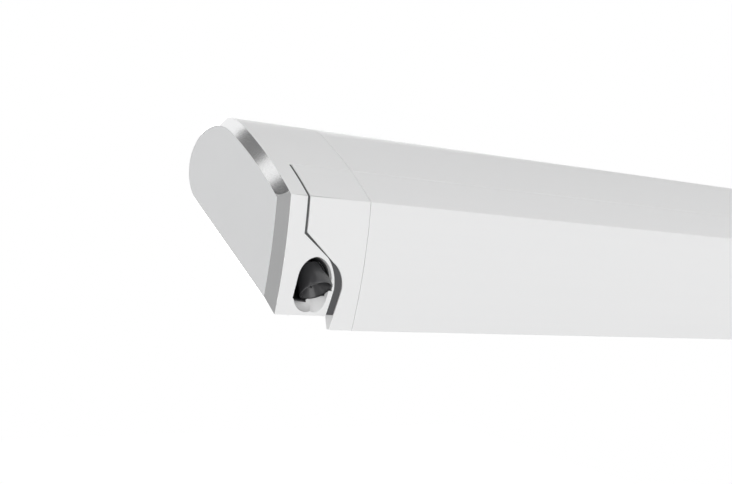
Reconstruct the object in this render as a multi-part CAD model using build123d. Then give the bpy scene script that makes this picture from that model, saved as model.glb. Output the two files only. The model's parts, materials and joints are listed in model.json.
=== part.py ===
from build123d import *
import os
from math import acos, asin, atan2, cos, degrees, hypot, pi, radians, sin, sqrt, tan

# A roll out awning in a closed case for a caravan or camper. Millimetres.
# X runs along the case, the lead rail faces -Y, Z is up. Sections are drawn as (y, z) from the case's
# front bottom corner, and the whole part is moved at the end so that the centre roof adapter's foot is
# the origin. Left is the end with the winch.

# Case
case_length = 2600.0  # between the outer lines of the two trim rims
extension_share = 10 / 13  # how far the lead rail rolls out, as a share of the case's length
case_depth = 135.8
back_radius = 43.3
underside_angle = radians(31.2)
roof_angle = radians(26.0)  # slope of the roof where it meets the round back
crease_height = 97.4  # where the upright front turns into the roof
front_radius = 480.0  # the front face bulges gently
front_bulge = 2.7  # how far it stands forward of the bottom corner
front_bulge_height = 47.5
case_wall = 2.2
lip_reach = 29.5  # depth of the lead rail's top lip
rail_drop = 12.1  # how far the lead rail hangs below the fixed caps
step_height = 29.5  # the case's open front is cut deeper above this height than below it
overrun = 5.0  # cutters pass a surface by this much
through = 100.0  # cutters that pass through one wall or piece
far = 400.0  # cutters that only have to be larger than the section
pitch = radians(9.0)  # the arms roll out this much below level

# Clearances
seam = 0.4  # between parts that move apart
running = 0.05  # shaft in its bore, on radius
play = 0.3  # between moving faces
fit = 0.1  # between a plug and its tube

# End caps and trims
cap_length = 88.5
cap_end_wall = 3.0
cap_wall = 2.6
trim_width = 8.0
trim_wall = 2.0
cover_thickness = 2.0
split_top = 20.5  # distance of the split from the case's end, beside the crease
split_knee_height = 68.4
split_reach = 67.2  # furthest the fixed cap reaches along the front
strip_top = 2.4  # width of the dark strip's upper part
strip_depth = 9.0
strip_setback = 0.5
corner_relief = 1.2  # the caps' front bottom corner is this much higher beyond relief_start
relief_start = 14.5
# shares of (split_reach, split_knee_height), from the knee downwards
rail_edge_shares = ((0.305, 1.0), (0.80, 0.655), (0.948, 0.515), (1.0, 0.34), (0.925, -0.10))
strip_edge_shares = ((0.269, 0.985), (0.70, 0.715), (0.83, 0.53), (0.875, 0.33), (0.82, 0.0))

# Winch
well_left = 15.8  # the opening's edge nearest the case's end
well_floor = 10.5
well_width = 38.6
well_height = 38.3
well_wall = 1.2
well_depth = 27.0
# shares of (well_width, well_height), from the lower left corner round over the arch
well_shares = ((0.0, 0.10), (0.05, 0.60), (0.20, 0.87), (0.53, 1.0), (0.86, 0.82), (1.0, 0.52), (0.94, 0.15))
well_foot_shares = ((0.46, 0.0), (0.08, 0.03))
scoop_x = 32.0  # the hollow under the opening is part of a ball
scoop_y = -4.0
scoop_z = 18.6
scoop_radius = 16.0
surround = 4.0  # material left round the well
surround_depth = 20.0
eye_x = 41.5
eye_y = 0.5
eye_z = 20.4
eye_radius = 14.5
eye_crown_radius = 11.0
eye_length = 22.0
eye_wall = 1.3
eye_rim = 2.6
eye_funnel_radius = 4.0
eye_funnel_depth = 14.0
eye_slot_width = 7.0
eye_slot_length = 15.0
eye_slot_depth = 17.5
worm_shaft_radius = 4.5
worm_module = 1.5
worm_teeth = 18
worm_pitch_radius = 5.7
worm_turns = 5
tip_share = 0.8  # height of a tooth above the pitch line, as a share of the module
flank_angle = radians(20.0)
tooth_slack = 0.9  # total backlash at the pitch line
wheel_width = 11.0
bush_wall = 2.0
bush_length = 6.0
gearbox_wall = 2.5
gearbox_length = 26.0
gearbox_clearance = 1.2
gearbox_post_angles = (radians(-60.0), radians(15.0), radians(210.0))

# Roller and cloth
roller_behind = 3.5  # the roller's axis lies this far behind the centre of the round back
roller_under = 5.85  # and this far under it
roller_radius = 27.0
roller_wall = 1.5
roller_end_gap = 76.0  # from the case's end to the tube
cloth_thickness = 0.5
cloth_spare = 100.0  # stays on the roller when the awning is out
cloth_inset = 6.0
web_thickness = 0.6
axle_radius = 8.0
plug_length = 34.0
plug_flange = 4.0
boss_length = 58.0
bearing_wall = 3.0
keder_radius = 3.0
keder_y = 20.0
keder_z = 101.0
keder_wall = 1.5
guide_radius = 2.4

# Arms
shoulder_x = 114.0
shoulder_y = 51.0
shoulder_z = 60.0
wrist_lead = 31.0  # the wrist stands this far in front of the shoulder
arm_end_angle = radians(62.8)  # between an open arm and the case
tube_width = 19.0
tube_height = 28.0
tube_wall = 2.0
tube_gap = 4.0  # between the folded tubes
pin_radius = 5.0
pin_head_radius = 8.0
pin_head = 1.5
eye_boss_radius = 12.0
tongue_height = 13.4
bracket_wall = 6.5
bracket_back = 13.5
bracket_foot_length = 46.0
bracket_foot_reach = 31.0
bracket_screw_reach = 24.0
bracket_screw_spacing = 30.0
plate_thickness = 5.0  # feet of the brackets and cradles of the adapters
knuckle_plug = 40.0
spring_length = 420.0
spring_wall = 2.2
spring_start = 120.0

# Lead rail
rail_wall = 2.2
channel_roof = 36.2
channel_back = 24.2
channel_back_foot = 17.5
channel_wall = 2.0
brace_height = 80.0
brace_depth = 12.0
plug_skin = 2.0
plug_reach = 9.0
toe_depth = 10.0
toe_height = 6.0

# Support legs
leg_pivot_x = 114.0
leg_height = 26.0
leg_width = 9.2
leg_wall = 1.2
leg_share = 5.9 / 13  # a leg's length as a share of the case's
leg_lane = 10.8  # from one leg's lane to the other's
leg_first_y = 8.2
leg_z = 22.5
leg_pin_radius = 3.0
leg_hold = 140.0  # what stays of the inner tube's travel
leg_overlap = 90.0
leg_overlap_out = 14.0  # the inner tube's stub that the foot sits on
foot_length = 30.0
lock_length = 40.0
lock_thickness = 3.4
lock_pin_radius = 1.8

# Roof adapters
adapter_length = 100.0
adapter_share = 5.25 / 13  # from the centre adapter to an outer one, as a share of the case's length
adapter_front = 58.0
adapter_screw_y = 70.0
adapter_foot_cover = 51.8  # how far the foot reaches under the case, from its back
adapter_foot_z = 50.0
adapter_foot_reach = 60.2  # how far the foot reaches behind the case
adapter_hole_radius = 3.3
adapter_hole_spacing = 60.0
adapter_hole_reach = 40.2
adapter_rib = 5.0
adapter_rib_spacing = 34.0
adapter_screw_spacing = 70.0

# Screws
screw_radius = 2.5
screw_head_radius = 4.6
screw_head = 2.6
screw_hole_radius = 2.8
port_radius = 5.2
port_inset = 7.3  # the tie screws' ports lie this deep under the case's outer surface
tie_screw_length = 104.0

half = case_length / 2
adapter_foot_front = case_depth - adapter_foot_cover
adapter_foot_back = case_depth + adapter_foot_reach
adapter_hole_y = case_depth + adapter_hole_reach
extension = case_length * extension_share
front_centre_y = front_radius - front_bulge


def front_y(z, inset=0):
    """Where the front face lies at height z."""
    return front_centre_y - sqrt((front_radius - inset) ** 2 - (z - front_bulge_height) ** 2)


corner = (front_y(0), 0)
crease = (front_y(crease_height), crease_height)
back_y = case_depth - back_radius
back_z = (back_radius + (back_y - corner[0]) * sin(underside_angle)) / cos(underside_angle)
roller_y = back_y + roller_behind
roller_z = back_z - roller_under
low_tangent = (back_y + back_radius * sin(underside_angle), back_z - back_radius * cos(underside_angle))
top_tangent = (back_y - back_radius * sin(roof_angle), back_z + back_radius * cos(roof_angle))
chord_y = crease[0] - top_tangent[0]
chord_z = crease[1] - top_tangent[1]
chord_lean = cos(roof_angle) * chord_z - sin(roof_angle) * chord_y
roof_radius = -(chord_y ** 2 + chord_z ** 2) / (2 * chord_lean)
roof_centre = (top_tangent[0] + roof_radius * sin(roof_angle), top_tangent[1] - roof_radius * cos(roof_angle))


def roof_z(y, inset=0):
    """Height of the roof's surface, or of one that lies inset below it, at depth y."""
    return roof_centre[1] + sqrt((roof_radius - inset) ** 2 - (y - roof_centre[0]) ** 2)


def underside_z(y, inset=0):
    """Height of the sloping underside, or of a surface that lies inset above it, at depth y."""
    return (y - corner[0]) * tan(underside_angle) + inset / cos(underside_angle)


# Solids from sections


def slab(section, x0, x1):
    """A section drawn as (y, z), running from x0 to x1."""
    return extrude(Plane.YZ.offset(x0) * section, amount=x1 - x0)


def curtain(face, y0, y1, direction=(0, 1, 0)):
    """A face drawn as (x, z) at depth y0, running back to about y1."""
    plane = Plane(origin=(0, y0, 0), x_dir=(1, 0, 0), z_dir=(0, -1, 0))
    return extrude(plane * face, amount=y1 - y0, dir=direction)


def patch(y0, y1, z0, z1):
    return Pos((y0 + y1) / 2, (z0 + z1) / 2) * Rectangle(y1 - y0, z1 - z0)


def block(x0, x1, y0, y1, z0, z1):
    return Pos((x0 + x1) / 2, (y0 + y1) / 2, (z0 + z1) / 2) * Box(x1 - x0, y1 - y0, z1 - z0)


def rod(radius, x0, x1, y, z):
    return slab(Pos(y, z) * Circle(radius), x0, x1)


def polygon(*points):
    return make_face(Polyline(*points, close=True))


def outline(inset=0):
    """The case's outer section, or one that lies inset inside it."""
    edges = [
        Line(corner, low_tangent),
        ThreePointArc(low_tangent, (case_depth, back_z), top_tangent),
        ThreePointArc(top_tangent, roof_point((top_tangent[0] + crease[0]) / 2), crease),
        ThreePointArc(crease, (-front_bulge, front_bulge_height), corner),
    ]
    face = make_face(Curve() + edges)
    return offset(face, amount=-inset) if inset else face


def roof_point(y):
    return (y, roof_z(y))


def nearest_wall(y, z):
    """A point in the middle of the case's wall, straight outwards from a port."""
    if z > back_z:
        across = hypot(y - back_y, z - back_z)
        out = (back_radius - case_wall / 2) / across
        return (back_y + (y - back_y) * out, back_z + (z - back_z) * out)
    drop = port_inset - case_wall / 2
    return (y + drop * sin(underside_angle), z - drop * cos(underside_angle))


def rail_outline(inset=0):
    """Everything behind the front face and under the roof, inset inside them."""
    front = Pos(front_centre_y, front_bulge_height) * Circle(front_radius - inset)
    roof = Pos(*roof_centre) * Circle(roof_radius - inset)
    return front & roof & patch(-far, far / 2, -far / 2, far)


def spread(shares, width, height, left=0, floor=0):
    return [(left + a * width, floor + b * height) for a, b in shares]


def edge_curve(shares):
    """The split between fixed cap and rail cap, from the knee downwards, as (x from the end, z)."""
    knee, shoulder, bend, bulge, toe = spread(shares, split_reach, split_knee_height)
    return knee, shoulder, bend, bulge, toe


def split_face(shares, top_x, right, floor):
    """The part of the front that lies right of a split, as a face in (x, z)."""
    knee, shoulder, bend, bulge, toe = edge_curve(shares)
    slope = (toe[0] - bulge[0]) / (toe[1] - bulge[1])
    foot = (toe[0] + (floor - toe[1]) * slope, floor)
    roof = crease_height + case_depth
    edges = [
        Line((top_x, roof), (top_x, crease_height)),
        Line((top_x, crease_height), knee),
        Line(knee, shoulder),
        ThreePointArc(shoulder, bend, bulge),
        Line(bulge, foot),
        Line(foot, (right, floor)),
        Line((right, floor), (right, roof)),
        Line((right, roof), (top_x, roof)),
    ]
    return make_face(Curve() + edges)


travel = (0, cos(pitch), sin(pitch))


def split_zone(shares, top_x, right, floor=-through, depth=2 * lip_reach):
    """The space right of a split, drawn back along the lead rail's travel."""
    start = -front_bulge - overrun
    face = split_face(shares, top_x, right, floor)
    face = Pos(0, (start - corner[0]) * tan(pitch)) * face
    return Pos(-half, 0, 0) * curtain(face, start, depth, travel)


# Fixed case


def pin(plane, radius, low, high):
    """A round rod on a plane's axis, between two distances from it."""
    return extrude(plane.offset(low) * Circle(radius), amount=high - low)


def screw(seat, length):
    """A socket head screw: its seat is a plane, its shank runs along the plane's normal."""
    body = pin(seat, screw_radius, 0, length) + pin(seat, screw_head_radius, -screw_head, 0)
    return body - extrude(seat.offset(-screw_head) * RegularPolygon(screw_radius, 6), amount=screw_head / 2)


upper_port = (
    back_y + (back_radius - port_inset) * cos(roof_angle * 2),
    back_z + (back_radius - port_inset) * sin(roof_angle * 2),
)
lower_port_y = low_tangent[0] - back_radius / 2 - port_inset * sin(underside_angle)
lower_port = (lower_port_y, underside_z(lower_port_y, port_inset))
ports = (upper_port, lower_port)


def housing_section():
    shell = outline() - outline(case_wall)
    shell -= patch(-far, lip_reach + seam, step_height, far)
    shell -= patch(-far, channel_back + channel_wall + seam, -far, step_height)
    for y, z in ports:
        shell += Pos(y, z) * Circle(port_radius)
        shell += bar((y, z), nearest_wall(y, z), port_radius)
    for y, z in ports:
        shell -= Pos(y, z) * Circle(screw_radius + running)
    return shell


def rear_housing():
    return slab(housing_section(), -half + cap_length, half - cap_length)


def cap_blank():
    """A fixed end cap before its front is opened: a shell closed by its end wall."""
    shell = slab(outline(), -half, -half + cap_length) - slab(
        outline(cap_wall), -half + cap_end_wall, -half + cap_length + overrun
    )
    for y, z in ports:
        sleeve = Pos(y, z) * Circle(port_radius) + bar((y, z), nearest_wall(y, z), port_radius)
        shell += slab(sleeve, -half + cap_end_wall / 2, -half + cap_length)
    for y, z in ports:
        shell -= rod(screw_hole_radius, -half - overrun, -half + cap_length + overrun, y, z)
        shell -= rod(screw_head_radius + fit, -half - overrun, -half + screw_head, y, z)
    relief = polygon((-far, -far), (-far, corner_relief), (far, corner_relief), (far, -far))
    front = patch(-far, cap_wall, -far, far)
    return shell - slab(relief & front, -half + relief_start, half)


def cap_opened(shell):
    """The cap without the space that the dark strip and the lead rail's cap take."""
    strip = split_zone(strip_edge_shares, split_top - strip_top, cap_length + overrun)
    keep_roof = block(-far - half, far, lip_reach + seam, far, step_height, far)
    keep_floor = block(-far - half, far, channel_back + channel_wall + seam, far, -far, step_height)
    return shell - (strip - keep_roof - keep_floor)


def well_face(grow=0):
    """The winch opening's outline in the front face."""
    points = spread(well_shares, well_width, well_height, well_left, well_floor)
    foot = spread(well_foot_shares, well_width, well_height, well_left, well_floor)
    edges = [
        Line(points[0], points[1]),
        ThreePointArc(points[1], points[2], points[3]),
        ThreePointArc(points[3], points[4], points[5]),
        Line(points[5], points[6]),
        Line(points[6], foot[0]),
        Line(foot[0], foot[1]),
        Line(foot[1], points[0]),
    ]
    face = make_face(Curve() + edges)
    return offset(face, amount=grow) if grow else face


wheel_pitch_radius = worm_module * worm_teeth / 2
centre_distance = wheel_pitch_radius + worm_pitch_radius
reach_y = roller_y - eye_y
reach_z = roller_z - eye_z
crank_tilt = atan2(reach_z, reach_y) + asin(centre_distance / hypot(reach_y, reach_z))
crank_axis = (0, cos(crank_tilt), sin(crank_tilt))
eye_centre = (-half + eye_x, eye_y, eye_z)


def crank_plane(along=0):
    """Centred on the crank shaft, this far up from the cup's rim, z along the shaft."""
    origin = (eye_centre[0], eye_y + along * crank_axis[1], eye_z + along * crank_axis[2])
    return Plane(origin=origin, x_dir=(1, 0, 0), z_dir=crank_axis)


def crank_rod(radius, low, high):
    return extrude(crank_plane(low) * Circle(radius), amount=high - low)


def eye_room():
    """The cup and the way out in front of it, grown by a running clearance."""
    gap = play * 2
    wide = eye_radius + gap
    profile = polygon(
        (0, -through), (eye_crown_radius, -through), (eye_crown_radius, -gap), (wide, -gap), (wide, eye_rim + gap),
        (eye_crown_radius + gap, eye_length + gap), (0, eye_length + gap)
    )
    return crank_plane().location * revolve(Plane.XZ * profile, axis=Axis.Z)


def above_floor(inset):
    """The space inset or more above the case's underside."""
    above = polygon((-far, underside_z(-far, inset)), (far, underside_z(far, inset)), (-far, far))
    return slab(above, -half, half)


def left_end_cap():
    cap = cap_blank()
    front = -front_bulge - overrun
    surround_block = Pos(-half, 0, 0) * curtain(well_face(surround), front, surround_depth)
    scoop_space = block(
        -half + well_left - surround, -half + well_left + well_width + surround, front,
        surround_depth, underside_z(0), well_floor + surround
    )
    inside = slab(outline(), -half + cap_end_wall, -half + split_reach)
    cap += (surround_block + scoop_space) & inside
    side_wall = Pos(-cap_wall, 0, 0) * split_zone(strip_edge_shares, split_top - strip_top, cap_length)
    cap += side_wall & slab(outline() & patch(-far, channel_back, -far, far), -half, -half + cap_length)
    for place in gearbox_posts:
        cap += rod(port_radius, -half + cap_end_wall / 2, gearbox_start, *place)
        cap -= rod(screw_hole_radius, -half - overrun, gearbox_start + overrun, *place)
    cap -= Pos(-half, 0, 0) * curtain(well_face(), front, well_depth) & above_floor(cap_wall)
    cap -= Pos(-half + scoop_x, scoop_y, scoop_z) * Sphere(scoop_radius)
    cap -= eye_room() & above_floor(cap_wall)
    cap -= crank_rod(worm_shaft_radius + play * 2, 0, through)
    return cap_opened(cap)


def idler_boss():
    outer = axle_radius + bearing_wall + case_wall
    boss = rod(outer, half - boss_length, half - cap_end_wall / 2, roller_y, roller_z)
    bore = rod(axle_radius + bearing_wall, 0, half - cap_end_wall, roller_y, roller_z)
    return boss - bore


def right_end_cap():
    cap = mirror(cap_opened(cap_blank()), about=Plane.YZ)
    return cap + idler_boss()


def idler_bearing():
    low = half - boss_length
    ring = rod(axle_radius + bearing_wall, low, half - cap_end_wall, roller_y, roller_z)
    return ring - rod(axle_radius + running, low - overrun, half, roller_y, roller_z)


def trim_blank(inset=0):
    """The bevelled block over the case's end, which the rim and the cover share."""
    base = Plane.YZ.offset(-half) * outline(inset)
    return extrude(base, amount=-(trim_width - inset), taper=degrees(pi / 4))


def trim_rim():
    rim = trim_blank()
    pocket = slab(outline(trim_width), -half - trim_width - overrun, -half + overrun)
    hollow = trim_blank(trim_wall * sqrt(2)) & slab(outline(), -half - trim_width + cover_thickness, -half)
    return rim - pocket - hollow


def cover_plate():
    plate = slab(outline(trim_width + fit), -half - trim_width, -half - trim_width + cover_thickness)
    clip_y = back_y
    for z in (back_z - back_radius / 2, back_z + back_radius / 2):
        plate += rod(port_radius, -half - trim_width + cover_thickness / 2, -half, clip_y, z)
    return plate


def cap_strip():
    """The dark strip in the split: a narrow web above, a wide face below."""
    strip = split_zone(strip_edge_shares, split_top - strip_top, cap_length)
    strip -= split_zone(rail_edge_shares, split_top, cap_length + overrun)
    band = outline(strip_setback) - outline(strip_depth)
    band &= patch(-far, lip_reach, underside_z(0), far)
    band -= patch(channel_back, far, -far, step_height)
    return strip & slab(band, -half, -half + cap_length)


def winch_well():
    """The dark lining of the opening, closed behind round the crank shaft."""
    front = front_y(0) + case_wall / 2
    outer = Pos(-half, 0, 0) * curtain(well_face(-play / 3), front, well_depth)
    inner = Pos(-half, 0, 0) * curtain(well_face(-well_wall), front - overrun, well_depth - well_wall)
    lining = outer - (inner & above_floor(cap_wall + fit + well_wall))
    lining -= slab(outline() - outline(case_wall / 2), -half, -half + cap_length)
    lining &= above_floor(cap_wall + fit)
    lining -= eye_room()
    return lining - crank_rod(worm_shaft_radius + play * 2, 0, through)


# Winch and gearbox

mesh_along = reach_y * crank_axis[1] + reach_z * crank_axis[2]  # from the cup's rim to the mesh
lead = pi * worm_module
gearbox_start = -half + eye_x - gearbox_length / 2
gearbox_end = gearbox_start + gearbox_length
mesh_y = eye_y + mesh_along * crank_axis[1]
mesh_z = eye_z + mesh_along * crank_axis[2]
toward_wheel = ((roller_y - mesh_y) / centre_distance, (roller_z - mesh_z) / centre_distance)
wheel_tip_radius = wheel_pitch_radius + worm_module * tip_share
wheel_root_radius = wheel_pitch_radius - worm_module
worm_tip_radius = worm_pitch_radius + worm_module * tip_share
worm_root_radius = worm_pitch_radius - worm_module
gearbox_inner_radius = wheel_tip_radius + gearbox_clearance
worm_room = worm_tip_radius + gearbox_clearance
worm_half = worm_turns * lead / 2
gearbox_half = worm_half + bush_length
post_reach = gearbox_inner_radius + gearbox_wall + screw_radius
gearbox_posts = [
    (roller_y + post_reach * cos(angle), roller_z + post_reach * sin(angle))
    for angle in gearbox_post_angles
]


def worm_bed(room, length):
    """The worm's space in section: a strip along the crank shaft."""
    return Pos(mesh_y, mesh_z) * Rot(0, 0, degrees(crank_tilt)) * Rectangle(2 * length, 2 * room)


def gearbox_section(wall=0):
    section = Pos(roller_y, roller_z) * Circle(gearbox_inner_radius + wall)
    return section + worm_bed(worm_room + wall, gearbox_half + wall)


def gearbox_housing():
    body = slab(gearbox_section(gearbox_wall), gearbox_start, gearbox_end - gearbox_wall)
    for place in gearbox_posts:
        body += rod(port_radius, gearbox_start, gearbox_end - gearbox_wall, *place)
    inside = gearbox_start + gearbox_wall
    body -= slab(gearbox_section(), inside, gearbox_end)
    body -= rod(axle_radius + running, gearbox_start - overrun, gearbox_end, roller_y, roller_z)
    body -= crank_rod(worm_shaft_radius + bush_wall, mesh_along - through, mesh_along + gearbox_half)
    for place in gearbox_posts:
        body -= rod(screw_radius + running, gearbox_start - overrun, gearbox_end, *place)
    return body & slab(outline(case_wall + fit), -half, half)


def gearbox_cover():
    plate = slab(gearbox_section(gearbox_wall), gearbox_end - gearbox_wall, gearbox_end)
    plate -= rod(axle_radius + running, gearbox_start, gearbox_end + overrun, roller_y, roller_z)
    return plate & slab(outline(case_wall + fit), -half, half)


def worm_bushes():
    """Two bushes, one at each end of the gearbox's worm bed."""
    tubes = []
    for low in (mesh_along - gearbox_half - gearbox_wall, mesh_along + worm_half):
        tube = crank_rod(worm_shaft_radius + bush_wall, low, low + bush_length)
        tubes.append(tube - crank_rod(worm_shaft_radius + running, low - overrun, low + far))
    return Compound(children=tubes)


def worm_thread():
    """The worm's single thread, one unbroken helical ridge."""
    start = (worm_turns - 1) / 2 * lead
    path = Helix(lead, 2 * start, worm_pitch_radius, center=(0, 0, -start))
    lean = sqrt(worm_pitch_radius ** 2 + (lead / (2 * pi)) ** 2)
    normal = (0, worm_pitch_radius / lean, lead / (2 * pi) / lean)
    section = Plane(origin=(worm_pitch_radius, 0, -start), x_dir=(1, 0, 0), z_dir=normal)
    half_width = (lead / 2 - tooth_slack / 2) / 2
    flank = tan(flank_angle)
    outward = worm_tip_radius - worm_pitch_radius
    inward = worm_pitch_radius - worm_root_radius + fit
    ridge = polygon(
        (outward, half_width - outward * flank),
        (-inward, half_width + inward * flank),
        (-inward, -half_width - inward * flank),
        (outward, -half_width + outward * flank),
    )
    return sweep(section * ridge, path=path, is_frenet=True)


def worm_shaft():
    """Crank shaft with the worm near its top end."""
    shaft = crank_rod(worm_shaft_radius, eye_length - plug_flange, mesh_along + gearbox_half - play)
    shaft -= crank_rod(worm_shaft_radius + overrun, mesh_along - worm_half, mesh_along + worm_half)
    shaft += crank_rod(worm_root_radius, mesh_along - worm_half, mesh_along + worm_half)
    mesh = crank_plane(mesh_along)
    turned = Plane(origin=mesh.origin, x_dir=(0, *toward_wheel), z_dir=mesh.z_dir)
    return shaft + turned.location * worm_thread()


def crank_eye():
    """The cup that guides the crank handle's hook into a slot."""
    bell = polygon(
        (0, 0), (eye_radius, 0), (eye_radius, eye_rim), (eye_crown_radius, eye_length), (0, eye_length)
    )
    mouth_radius = eye_radius - eye_wall
    funnel = polygon(
        (0, -overrun), (mouth_radius, -overrun), (mouth_radius, 0), (eye_funnel_radius, eye_funnel_depth),
        (0, eye_funnel_depth)
    )
    cup = revolve(Plane.XZ * (bell - funnel), axis=Axis.Z)
    cup -= Pos(0, 0, eye_slot_depth / 2) * Box(eye_slot_width, eye_slot_length, eye_slot_depth)
    cup = crank_plane().location * cup
    return cup - crank_rod(worm_shaft_radius, eye_length - plug_flange, far)


def worm_wheel():
    """A wheel of slanting teeth, with a gap facing the worm."""
    step = 2 * pi / worm_teeth
    thick = step / 4 - tooth_slack / 4 / wheel_pitch_radius
    tip_half = thick - (wheel_tip_radius - wheel_pitch_radius) * tan(flank_angle) / wheel_pitch_radius
    root_half = thick + (wheel_pitch_radius - wheel_root_radius) * tan(flank_angle) / wheel_pitch_radius
    facing = radians(180) + atan2(toward_wheel[1], toward_wheel[0])
    points = []
    for tooth in range(worm_teeth):
        middle = facing + (tooth + 1 / 2) * step
        for angle, radius in (
            (-root_half, wheel_root_radius),
            (-tip_half, wheel_tip_radius),
            (tip_half, wheel_tip_radius),
            (root_half, wheel_root_radius),
        ):
            points.append((radius * cos(middle + angle), radius * sin(middle + angle)))
    twist = degrees(lead / (2 * pi) / worm_pitch_radius / wheel_pitch_radius * wheel_width)
    gear = Solid.extrude_linear_with_rotation(polygon(*points).face(), (0, 0, 0), (0, 0, wheel_width), twist)
    gear -= Cylinder(axle_radius, far)
    seat = Plane(origin=(wheel_start, roller_y, roller_z), x_dir=(0, 1, 0), z_dir=(1, 0, 0))
    return seat.location * Rot(0, 0, -twist / 2) * gear


wheel_start = -half + eye_x - wheel_width / 2

# Roller and cloth

roll_radius = sqrt(roller_radius ** 2 + (extension + cloth_spare) * cloth_thickness / pi)
tube_start = -half + roller_end_gap
bore_radius = roller_radius - roller_wall


def roller_tube():
    tube = rod(roller_radius, tube_start, -tube_start, roller_y, roller_z)
    return tube - rod(bore_radius, tube_start - overrun, -tube_start + overrun, roller_y, roller_z)


def fabric_roll():
    low = tube_start + cloth_inset
    roll = rod(roll_radius, low, -low, roller_y, roller_z)
    return roll - rod(roller_radius, low - overrun, -low + overrun, roller_y, roller_z)


def end_plug(axle_end):
    """The left plug of the roller tube, with its flange and its axle."""
    plug = rod(bore_radius - fit, tube_start, tube_start + plug_length, roller_y, roller_z)
    plug += rod(roller_radius, tube_start - plug_flange, tube_start, roller_y, roller_z)
    return plug + rod(axle_radius, axle_end, tube_start, roller_y, roller_z)


def drive_plug():
    return end_plug(gearbox_start - plug_flange)


def idler_plug():
    return mirror(end_plug(-half + cap_end_wall + play), about=Plane.YZ)


guide_y = lip_reach + seam + guide_radius + case_wall
guide_z = roof_z(guide_y, case_wall) - guide_radius


def lip_seal():
    """A round nosed strip under the housing's front edge, over which the cloth runs."""
    nose = Pos(guide_y, guide_z) * Circle(guide_radius)
    foot = patch(guide_y - guide_radius / 2, guide_y + 3 * guide_radius, guide_z, far)
    strip = nose + (foot & (outline(case_wall) - outline(case_wall + guide_radius)))
    return slab(strip & outline(case_wall), -half + cap_length, half - cap_length)


def bar(p, q, thickness):
    """A straight strip between two points of a section."""
    length = hypot(q[0] - p[0], q[1] - p[1])
    turn = degrees(atan2(q[1] - p[1], q[0] - p[0]))
    return Pos((p[0] + q[0]) / 2, (p[1] + q[1]) / 2) * Rot(0, 0, turn) * Rectangle(length, thickness)


cloth_bend = (guide_y, guide_z - guide_radius - play - web_thickness / 2)
slot_turn = atan2(cloth_bend[1] - keder_z, cloth_bend[0] - keder_y)


def canopy_web():
    """The cloth from the keder, under the guide, to the top of the roll."""
    reach = keder_radius + fit + web_thickness / 2
    hem = (keder_y + reach * cos(slot_turn), keder_z + reach * sin(slot_turn))
    off = roll_radius + play + web_thickness / 2
    dy = cloth_bend[0] - roller_y
    dz = cloth_bend[1] - roller_z
    angle = atan2(dz, dy) - acos(off / hypot(dy, dz))
    lift = (roller_y + off * cos(angle), roller_z + off * sin(angle))
    cloth = bar(hem, cloth_bend, web_thickness) + bar(cloth_bend, lift, web_thickness)
    cloth += Pos(*cloth_bend) * Circle(web_thickness / 2)
    low = tube_start + cloth_inset
    return slab(cloth, low, -low)


# Folding arms, drawn in plan from the left shoulder

arm_length = (extension + wrist_lead) / (2 * sin(arm_end_angle))
rest_lean = asin(wrist_lead / 2 / arm_length)
elbow = (arm_length * cos(rest_lean), -wrist_lead / 2)
wrist = (0, -wrist_lead)
upper_line = elbow[1] + (tube_gap + tube_width) / 2
fore_line = elbow[1] - (tube_gap + tube_width) / 2
arm_plane = Plane(
    origin=(-half + shoulder_x, shoulder_y, shoulder_z), x_dir=(1, 0, 0), z_dir=(0, -sin(pitch), cos(pitch))
)
tongue_half = tongue_height / 2
ear_start = tongue_half + play
arm_half = tube_height / 2
block_start = eye_boss_radius + tube_gap
block_end = block_start + bracket_wall


def plate(face, low, high):
    """A plan face of the arms, between two heights from the arms' middle plane."""
    return extrude(arm_plane.offset(low) * face, amount=high - low)


def both_ears(face):
    return plate(face, ear_start, arm_half) + plate(face, -arm_half, -ear_start)


def eye_face(centre, radius=eye_boss_radius):
    return Pos(*centre) * Circle(radius)


def hinge_pin(centre):
    rivet = plate(eye_face(centre, pin_radius), -arm_half - pin_head, arm_half + pin_head)
    rivet += plate(eye_face(centre, pin_head_radius), arm_half, arm_half + pin_head)
    return rivet + plate(eye_face(centre, pin_head_radius), -arm_half - pin_head, -arm_half)


def bored(part, centre):
    return part - plate(eye_face(centre, pin_radius + running), -far, far)


def arm_tube(x0, x1, line):
    outer = patch(x0, x1, line - tube_width / 2, line + tube_width / 2)
    inner_half = tube_width / 2 - tube_wall
    hollow = patch(x0 - overrun, x1 + overrun, line - inner_half, line + inner_half)
    return plate(outer, -arm_half, arm_half) - plate(hollow, -arm_half + tube_wall, arm_half - tube_wall)


def tube_plug(x0, x1, line):
    half_width = tube_width / 2 - tube_wall - fit
    half_height = arm_half - tube_wall - fit
    return plate(patch(x0, x1, line - half_width, line + half_width), -half_height, half_height)


def tongue(centre, line, side):
    """An eye that fits between two ears and the block and plug that carry it, on the side +1 or -1."""
    x = centre[0]
    near = x + side * block_start
    deep = x + side * block_end
    low = line - tube_width / 2
    high = line + tube_width / 2
    span = sorted((x, near))
    neck = eye_face(centre) + patch(*span, max(low, centre[1] - eye_boss_radius),
                                    min(high, centre[1] + eye_boss_radius))
    part = plate(neck, -tongue_half, tongue_half)
    part += plate(patch(*sorted((near, deep)), low, high), -arm_half, arm_half)
    part += tube_plug(*sorted((deep, deep + side * knuckle_plug)), line)
    return bored(part, centre)


def elbow_fork():
    near = elbow[0] - block_start
    deep = elbow[0] - block_end
    low = upper_line - tube_width / 2
    high = upper_line + tube_width / 2
    ear = eye_face(elbow) + patch(deep, elbow[0], low, high)
    part = both_ears(ear)
    part += plate(patch(deep, near, low, high), -arm_half, arm_half)
    web = patch(near, elbow[0], low, high) - eye_face(elbow, eye_boss_radius + play * 2)
    part += plate(web, -arm_half, arm_half)
    part += tube_plug(deep - knuckle_plug, deep, upper_line)
    return bored(part, elbow)


def upper_tube():
    return arm_tube(block_end, elbow[0] - block_end, upper_line)


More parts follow.
